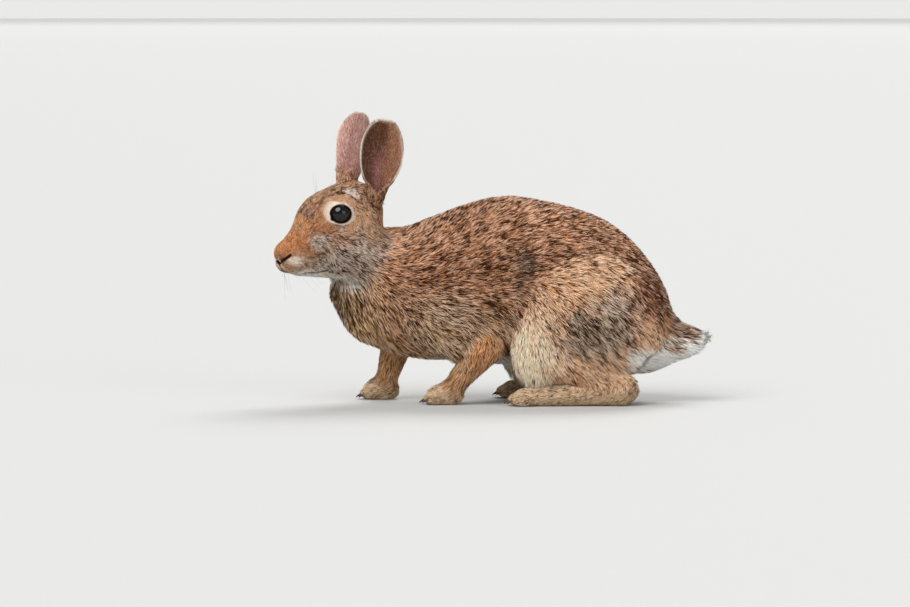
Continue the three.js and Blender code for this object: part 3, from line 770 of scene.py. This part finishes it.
def rootsOn(mesh):
    points, normals, triangles = coordinatesOf(mesh), normalsOf(mesh), trianglesOf(mesh)
    facts = hide(points, normals)
    a, b, c = (points[triangles[:, i]] for i in range(3))
    area = np.linalg.norm(np.cross(b - a, c - a), axis=-1) / 2
    share = area * facts[triangles, column["density"]].mean(1)
    share[(a + b + c)[:, 2] / 3 < strands["footHeight"]] = 0    # none under the soles
    share /= share.sum()
    chosen = np.searchsorted(np.cumsum(share), dice.random(strands["total"]))
    u, v = dice.random((2, strands["total"], 1))
    fold = u + v > 1
    u, v = np.where(fold, 1 - u, u), np.where(fold, 1 - v, v)
    parts = triangles[chosen]

    def spread(values):
        return values[parts[:, 0]] * (1 - u - v) + values[parts[:, 1]] * u + values[parts[:, 2]] * v

    roots, facts = spread(points), spread(facts)
    normals = unitRows(spread(normals))
    keep = ~bareAt(roots)
    print("fur asked", strands["total"], "kept", keep.sum())
    return roots[keep], normals[keep], facts[keep]


def combed(roots, normals, facts):    # where each spindle bends and ends, and how wide it is
    count = len(roots)
    hair, coat, off = (fact(facts, name) for name in ("hair", "coat", "off"))
    lie = laid(fact(facts, "lie"), normals)
    aside = np.cross(normals, lie)
    wave = (cloud(roots, 6) - 0.5) * 2 * strands["clump"] + dice.normal(0, strands["spread"], count)
    wave = np.radians(wave) * (1 - 0.5 * off)
    lie = lie * np.cos(wave)[:, None] + aside * np.sin(wave)[:, None]
    aside = np.cross(normals, lie)
    length = hair * dice.uniform(0.72, 1.12, count)
    width = (strands["width"] + strands["widthByLength"] * hair) * dice.uniform(0.7, 1.25, count)
    rise = coat * dice.uniform(0.7, 1.08, count)
    bent = roots + lie * (length * strands["bend"])[:, None] + normals * (rise * strands["lift"])[:, None]
    tips = roots + lie * (length * 0.97)[:, None] + normals * rise[:, None]
    for ends, depth in ((bent, rise * strands["lift"]), (tips, rise)):
        lift = (skinField(ends) - depth) * (1 - ease(off, 0, 0.3))
        ends -= normals * np.clip(lift, -strands["mostLift"], strands["mostLift"])[:, None]
    hump = ((bent - roots - (tips - roots) * strands["bend"]) * normals).sum(-1)
    bent += normals * np.maximum(strands["keel"] * width - hump, 0)[:, None]
    return bent, tips, lie, aside, width


# deep and deepInWhite: the undercoat's own dark with painted shade deep in the coat
shade = dict(fine=1.35, headFine=0.62, broad=3.8, soot="3e200e", cream="fbeadb", mottle=0.85, jitter=0.2,
             shortHair=5, shortStreak=0.6, deep=(0.22, 0.16, 0.13), deepInWhite=(0.4, 0.38, 0.36))


def undercoatAndPaintedShade(facts):    # deep in the coat: the dark undercoat with painted shade between the hairs, dark and warm under ticked fur, paler under white fur
    paler = 1 - ease(fact(facts, "dark")[:, None], 0, 0.25)
    return np.array(shade["deep"]) + paler * np.array(shade["deepInWhite"])


def shades(roots, lie, facts):    # colours at root, bend and tip of each spindle; the root takes the undercoat with painted shade
    count = len(roots)
    short = fact(facts, "hair")[:, None] < shade["shortHair"]
    lie = np.where(short, lie * shade["shortStreak"], lie)
    onHead = ease(-toHead(roots)[:, 0], 0, 12)
    band, dark, pale = (fact(facts, name) for name in ("band", "dark", "pale"))
    fine = streaks(roots, lie, shade["fine"]) * (1 - onHead)
    fine += streaks(roots, lie, shade["fine"] * shade["headFine"]) * onHead
    mottle = 0.9 * fine + 0.2 * streaks(roots, lie, shade["broad"])
    sooty = dice.random(count) < np.clip(dark * (1 + shade["mottle"] * mottle), 0, 0.95)
    light = ~sooty & (dice.random(count) < np.clip(pale * (1.4 - 0.5 * mottle), 0, 0.95))
    ticked = ~sooty & ~light & (dice.random(count) < np.clip(1.6 * dark, 0, 0.6))    # its tip is dark
    uneven = np.exp(dice.normal(0, shade["jitter"], (count, 1)))
    band = band * uneven * (1 + dice.normal(0, 0.03, (count, 3)))
    soot = linear(shade["soot"]) * np.exp(dice.normal(0, 0.4, (count, 1)))
    cream = linear(shade["cream"])
    share = (0.3 + 0.6 * pale)[:, None]
    washed = band * (1 - share) + cream * share
    kinds = ((sooty, soot * 0.8 + band * 0.08, soot),
             (ticked, (band * 0.9 + cream * 0.08) * 1.2, band * (0.3, 0.22, 0.17)),
             (light, (band + washed) * 0.6, washed * 1.25))
    middle, tip = band * (0.95 - 0.4 * dark)[:, None], (band * 0.9 + cream * 0.1) * 1.25
    for kind, bend, end in kinds:
        middle, tip = np.where(kind[:, None], bend, middle), np.where(kind[:, None], end, tip)
    return band * undercoatAndPaintedShade(facts), middle, tip


bareSkinAndPaintedShade = dict(lids="241510", cuts=("321a14", "46291f", "3a221c"))    # cuts in the order of faceCuts: painted shade in the nostrils and along the mouth line, the lids' own dark at the eye corner


def paintHide(made):    # the skin takes the undercoat colour with painted shade of the fur over it; where it is bare, the lids' own dark at the lids and eye corner, and painted shade in the nostrils and along the mouth line
    points, normals = coordinatesOf(made.data), normalsOf(made.data)
    facts = hide(points, normals)
    colours = fact(facts, "band") * undercoatAndPaintedShade(facts)
    local = mirrored(toHead(points))
    height, gap, middle = eyeShape(local)
    rim = (1 - ease(gap, 0.5, 1)) * ease(height, -3, -2) * (middle < 14)
    colours += rim[:, None] * (linear(bareSkinAndPaintedShade["lids"]) - colours)
    # painted shade in the nostrils and along the mouth line, the lids' own dark at the eye corner
    for cuts, code in zip(faceCuts, bareSkinAndPaintedShade["cuts"]):
        colours += (1 - ease(nearest(cuts, local), 0.1, 0.8))[:, None] * (linear(code) - colours)
    paint(made.data, colours)
    made.data.vertices.foreach_set("co", placeOf(points).ravel().astype(np.float32))
    made.data.update()
    print("hide coloured")


regions = {    # each coat piece: the furs that it takes, and the line from which it is unwrapped
    "face": (("crown", "temple"), "head", (-40, 0, 0), (-1, 0, -0.4)),
    "snout": (("bridge", "noseTip", "muzzle"), "head", (-62, 0, -22), (-0.85, 0, -0.5)),
    "cheek": (("cheek", "jaw"), "head", (-35, 0, -20), (-1, 0, -0.3)),
    "neck": (("nape", "chest"), "body", (-70, 0, 92), (-1, 0, 0.5)),
    "back": (("back",), "body", (20, 0, 80), (1, 0, 0)),
    "flank": (("flank",), "body", (20, 0, 75), (1, 0, 0)),
    "rump": (("rump",), "body", (84, 0, 70), (1, 0, -0.4)),
    "scut": (("tail", "white"), "body", (110, 0, 48), (1, 0, 0)),
    "thigh": (("thigh", "knee"), "body", (60, 0, 50), (0, 1, 0)),
    "foreleg": (("shoulder", "forearm"), "body", (-30, 0, 45), (0.3, 0, 1)),
    "foot": (("foot",), "body", (0, 0, 6), (1, 0, 0)),
}


def regionNumbers(points):
    takes = [furNames for furNames, *_ in regions.values()]
    owner = [next(n for n, furNames in enumerate(takes) if mass["fur"] in furNames)
             for mass in bodyMasses + headMasses]
    return np.array(owner)[np.argmin(allDistances(points), -1)]


def unwrapped(points, frameName, centre, along):    # angle about a line and place along it, from 0 to 1
    local = (toHead(points) if frameName == "head" else points) - centre
    along = np.array(along) / np.linalg.norm(along)
    across = unitRows(np.cross(along, (0.13, 0.97, 0.21)))
    third = np.cross(along, across)
    flat = np.stack((np.arctan2(local @ third, local @ across), local @ along), -1)
    flat -= flat.min(0)
    return 0.01 + 0.98 * flat / np.maximum(flat.max(0), 1e-6)


def spindles(name, roots, normals, bent, tips, aside, width, colours, patchUv):
    count = len(roots)
    half = (aside * width[:, None]) / 2
    roots = roots - normals * strands["depth"]
    points = np.stack((roots, bent - half, bent + half, tips), 1)
    points[..., 2] = np.maximum(points[..., 2], strands["floor"] + dice.random((count, 1)) * 0.2)
    corners = np.array((0, 1, 2, 3, 2, 1, 0, 2, 3, 0, 3, 1))
    loops = (np.arange(count)[:, None] * 4 + corners).ravel()
    mesh = bpy.data.meshes.new(name)
    mesh.vertices.add(count * 4)
    mesh.vertices.foreach_set("co", placeOf(points).ravel().astype(np.float32))
    mesh.loops.add(count * 12)
    mesh.loops.foreach_set("vertex_index", loops.astype(np.int32))
    mesh.polygons.add(count * 4)
    mesh.polygons.foreach_set("loop_start", np.arange(0, count * 12, 3, dtype=np.int32))
    mesh.update(calc_edges=True)
    under, middle, tip = colours
    paint(mesh, np.clip(np.stack((under, middle, middle, tip), 1), 0, 1).reshape(-1, 3))
    patch = strands["uvPatch"] / 2
    corner = patchUv[:, None] + np.array(((0, -patch), (-patch, 0), (patch, 0), (0, patch)))
    unwrap = mesh.uv_layers.new(name="OFBake")
    unwrap.data.foreach_set("uv", corner.reshape(-1, 2)[loops].ravel().astype(np.float32))
    lean = aside * strands["tilt"]
    out = np.stack((normals, unitRows(normals - lean), unitRows(normals + lean), normals), 1)
    mesh.shade_smooth()
    mesh.normals_split_custom_set_from_vertices(out.reshape(-1, 3).astype(np.float32))
    mesh.materials.append(coatFinish)
    made = placed(name, mesh)
    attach(made, "root")


def makeCoat(skinMesh):
    roots, normals, facts = rootsOn(skinMesh)
    bent, tips, lie, aside, width = combed(roots, normals, facts)
    colours = shades(roots, lie, facts)
    onEar, inside = fact(facts, "off") > 0.5, fact(facts, "inside") > 0.5
    number = regionNumbers(roots)
    onHead = np.array([region[1] == "head" for region in regions.values()])[number]
    sideways = np.where(onEar | onHead, toHead(roots)[:, 1], roots[:, 1]) < 0
    for side, near in (("left", True), ("right", False)):
        for place, name in enumerate(list(regions) + ["ear"]):
            if name == "ear":
                mine, slot = (sideways == near) & onEar, "ear"
                flat = earSheets(*(fact(facts, key)[mine] for key in ("along", "across")), inside[mine])
            else:
                mine, slot = (sideways == near) & ~onEar & (number == place), "coat"
                flat = unwrapped(roots[mine], *regions[name][1:])
            spindles(f"fur_{name}_{side}", roots[mine], normals[mine], bent[mine], tips[mine], aside[mine],
                     width[mine], [part[mine] for part in colours], flat)
            print("fur", name, side, mine.sum() * 4, "triangles")


# the eyes: nearly black, with a deep brown iris round the pupil
eyeLook = dict(rings=30, steps=44, pupil=46, iris=64, colours=("030202", "1e0f0a", "070404"))


def dropLoose(bm):    # the rows at the two poles, which no face uses
    bmesh.ops.delete(bm, geom=[vert for vert in bm.verts if not vert.link_faces], context="VERTS")


def addEyes(finish):
    angle = np.linspace(0, pi, eyeLook["rings"] + 1)[:, None]
    turn = np.arange(eyeLook["steps"]) * 2 * pi / eyeLook["steps"]
    steps = eyeLook["steps"]
    faces = [(ring * steps + i, ring * steps + (i + 1) % steps, (ring + 1) * steps + (i + 1) % steps,
              (ring + 1) * steps + i) for ring in range(1, eyeLook["rings"] - 1) for i in range(steps)]
    last = (eyeLook["rings"] - 1) * steps
    faces += [tuple(range(2 * steps - 1, steps - 1, -1)), tuple(range(last, last + steps))]
    pupil, iris, edge = (linear(code) for code in eyeLook["colours"])
    degrees = np.degrees(np.repeat(angle, steps))
    tint = pupil + ease(degrees, eyeLook["pupil"] - 4, eyeLook["pupil"] + 4)[:, None] * (iris - pupil)
    tint += ease(degrees, eyeLook["iris"] - 10, eyeLook["iris"] + 4)[:, None] * (edge - tint)
    for side, name in ((-1, "left"), (1, "right")):
        axis = eyeAxis * (1, side, 1)
        across = unitRows(np.cross((0, 0, 1), axis))
        upward = np.cross(axis, across)
        rows = axis * np.cos(angle)[..., None] + np.sin(angle)[..., None] * (
            across * np.cos(turn)[:, None] + upward * np.sin(turn)[:, None])
        points = fromHead(eyeAt * (1, side, 1) + eyeRadius * rows.reshape(-1, 3))
        eye = objectOf(f"eyeball_{name}", placeOf(points), faces)
        reshape(eye.data, dropLoose)
        paint(eye.data, tint[steps:-steps])
        finished(eye, finish)
        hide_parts(f"eye_{name}")
    print("eyes set")


# the whiskers and claws: thin closed tubes
whiskers = dict(perSide=15, overEye=3, length=(20, 38), browLength=(16, 26), radius=0.12, steps=9,
                widest=58, foremost=-176)
claws = dict(radius=0.95, length=5.5, drop=2.6, steps=6)


def tubes(name, paths, finish, sides):
    points, faces = [], []
    turn = np.arange(sides) * 2 * pi / sides
    for path, radii in paths:
        along = unitRows(np.gradient(path, axis=0))
        first = unitRows(np.cross(along, (0.31, 0.17, 0.93)))
        second = np.cross(along, first)
        ring = first[:, None] * np.cos(turn)[:, None] + second[:, None] * np.sin(turn)[:, None]
        start = sum(map(len, points))
        points.append((path[:, None] + ring * np.array(radii)[:, None, None]).reshape(-1, 3))
        for low in range(start, start + (len(path) - 1) * sides, sides):
            faces += [(low + i, low + (i + 1) % sides, low + sides + (i + 1) % sides, low + sides + i)
                      for i in range(sides)]
        end = start + len(path) * sides
        faces += [tuple(range(start + sides - 1, start - 1, -1)), tuple(range(end - sides, end))]
    finished(objectOf(name, placeOf(np.concatenate(points)), faces), finish)
    print(name, len(paths))


def addWhiskers(finish):
    paths = []
    t = np.linspace(0, 1, whiskers["steps"])[:, None]
    for side in (-1, 1):
        for i in range(whiskers["perSide"] + whiskers["overEye"]):
            if i < whiskers["perSide"]:    # on the upper lip, in four rows
                start = seated((-75 + 2.6 * (i // 4) + dice.normal(0, 0.4), 9, -29.5 - 2.1 * (i % 4)), 0.3)
                first = np.array((dice.uniform(0.05, 0.5), dice.uniform(0.6, 0.9), dice.uniform(-0.5, 0.1)))
                then = np.array((dice.uniform(0.2, 0.5), -0.1, dice.uniform(-0.6, -0.2)))
                length = dice.uniform(*whiskers["length"])
            else:    # over the eye
                start = seated((-49 + 2 * (i % 3), 12, 15.5), 0.3)
                first = np.array((dice.uniform(-0.3, 0.1), dice.uniform(0.3, 0.5), 0.8))
                then = np.array((0.25, 0, dice.uniform(-0.1, 0.1)))
                length = dice.uniform(*whiskers["browLength"])
            first, then = unitRows(first) * (1, side, 1), then * (1, side, 1)
            while True:
                path = fromHead(start * (1, side, 1) + length * (t * first + t**2 * then * 0.8))
                narrow = np.abs(path[:, 1]).max() < whiskers["widest"]
                if narrow and path[:, 0].min() > whiskers["foremost"]:
                    break
                length *= 0.93
            paths.append((path, whiskers["radius"] * (1 - 0.8 * t[:, 0])))
    tubes("whiskers", paths, finish, 3)


def addClaws(finish):
    paths = []
    t = np.linspace(0, 1, claws["steps"])
    for mass in bodyMasses:
        if mass["blend"] == toeBlend:
            start = mass["at"] + np.array((-mass["size"][0] + 2.2, 0, -0.6))
            path = start + np.stack((-claws["length"] * t, 0 * t, -claws["drop"] * t**2), -1)
            path[:, 2] = np.maximum(path[:, 2], 0.6)
            paths.append((path, claws["radius"] * np.sqrt(1.02 - t)))
    tubes("claws", paths, finish, 8)


# the finishes: the coat, hide and eyes take their colour from the tint painted on their points
def paint(mesh, colours):
    tint = np.ones((len(colours), 4), np.float32)
    tint[:, :3] = colours
    mesh.color_attributes.new("tint", "FLOAT_COLOR", "POINT").data.foreach_set("color", tint.ravel())


def finished(made, finish):
    made.data.shade_smooth()
    made.data.materials.clear()
    made.data.materials.append(finish)
    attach(made, "root")


def finishOf(name, roughness, **sockets):
    material = bpy.data.materials.new(name)
    material.use_nodes = True
    shader = material.node_tree.nodes["Principled BSDF"]
    shader.inputs["Roughness"].default_value = roughness
    for socket, value in sockets.items():
        shader.inputs[socket.replace("_", " ")].default_value = value
    return material


def tinted(name, roughness, **sockets):
    material = finishOf(name, roughness, **sockets)
    tree = material.node_tree
    tint = tree.nodes.new("ShaderNodeAttribute")
    tint.attribute_name = "tint"
    tree.links.new(tint.outputs["Color"], tree.nodes["Principled BSDF"].inputs["Base Color"])
    return material


coatFinish = tinted("fur coat", 0.55, Specular_IOR_Level=0.1)
skinFinish = tinted("hide under the fur", 0.7, Specular_IOR_Level=0.1)
eyeFinish = tinted("wet eye", 0.3, Specular_IOR_Level=0, Coat_Weight=1, Coat_Roughness=0.03, Coat_IOR=1.45)
whiskerFinish = finishOf("whisker", 0.45, Base_Color=(0.34, 0.3, 0.26, 1))
clawFinish = finishOf("claw horn", 0.35, Base_Color=(0.05, 0.035, 0.028, 1))


# the stage: a wide pale floor, a far wall of nearly its tone, three broad soft lights and an even room
view = dict(centre=(-26.25, 0, 73.9), wide=682.5, away=4.0, rise=4.0, sensor=36)
room = dict(floor=(0.5, 0.5, 0.49), reach=18, glow=0.38, wallAt=0.98, wallHeight=1.6,
            wall=(0.823, 0.828, 0.81), wallSides=64)    # wallAt is a share of the floor's reach
lamps = {    # where each light comes from, its strength, and its width in degrees
    "key": ((-0.9, -1.2, 1.9), 2.6, 44),
    "fill": ((1.4, -1.6, 0.8), 0.5, 35),
    "back": ((0.5, 1.2, 1.6), 2.0, 33),
}


def looking(name, data, place, way):
    made = placed(name, data)
    made.location, made.rotation_euler = place, way.to_track_quat("-Z", "Y").to_euler()
    return made


def stage():
    rise, away = radians(view["rise"]), view["away"]
    back = Vector((0, -away * cos(rise), away * sin(rise)))
    place = Vector(placeOf(np.array(view["centre"]))) + back
    camera = looking("camera", bpy.data.cameras.new("camera"), place, -back)
    camera.data.sensor_width = view["sensor"]
    camera.data.lens = view["sensor"] * away / (view["wide"] * millimetre)
    camera.data.clip_end = 2 * room["reach"]
    bpy.context.scene.camera = camera
    reach = room["reach"]
    square = np.array([(-1, -1, 0), (1, -1, 0), (1, 1, 0), (-1, 1, 0)])
    floor = objectOf("floor", square * reach, [(0, 1, 2, 3)])
    floor.data.materials.append(finishOf("pale floor", 0.8, Base_Color=(*room["floor"], 1)))
    sides = room["wallSides"]
    turn = np.arange(sides) * 2 * pi / sides
    foot = np.stack((np.cos(turn), np.sin(turn), 0 * turn), -1) * reach * room["wallAt"]
    wall = objectOf("far wall", np.concatenate((foot, foot + (0, 0, room["wallHeight"]))),
                    [(i, (i + 1) % sides, (i + 1) % sides + sides, i + sides) for i in range(sides)])
    wall.data.materials.append(finishOf("pale wall", 1, Base_Color=(0, 0, 0, 1), Specular_IOR_Level=0,
                                        Emission_Color=(*room["wall"], 1), Emission_Strength=1))
    for name, (place, strength, width) in lamps.items():
        lamp = looking(name, bpy.data.lights.new(name, "SUN"), place, -Vector(place))
        lamp.data.energy, lamp.data.angle = strength, radians(width)
    world = bpy.data.worlds.new("room")
    world.use_nodes = True
    glow = world.node_tree.nodes["Background"].inputs
    glow["Color"].default_value, glow["Strength"].default_value = (1, 1, 1, 1), room["glow"]
    bpy.context.scene.world = world
    bpy.context.scene.view_settings.view_transform = "Standard"
    print("stage ready")


def main():
    stage()
    hideSkin = makeSkin()
    makeCoat(hideSkin.data)
    paintHide(hideSkin)
    finished(hideSkin, skinFinish)
    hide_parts(*[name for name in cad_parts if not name.startswith("eye")])
    addEyes(eyeFinish)
    addWhiskers(whiskerFinish)
    addClaws(clawFinish)


main()
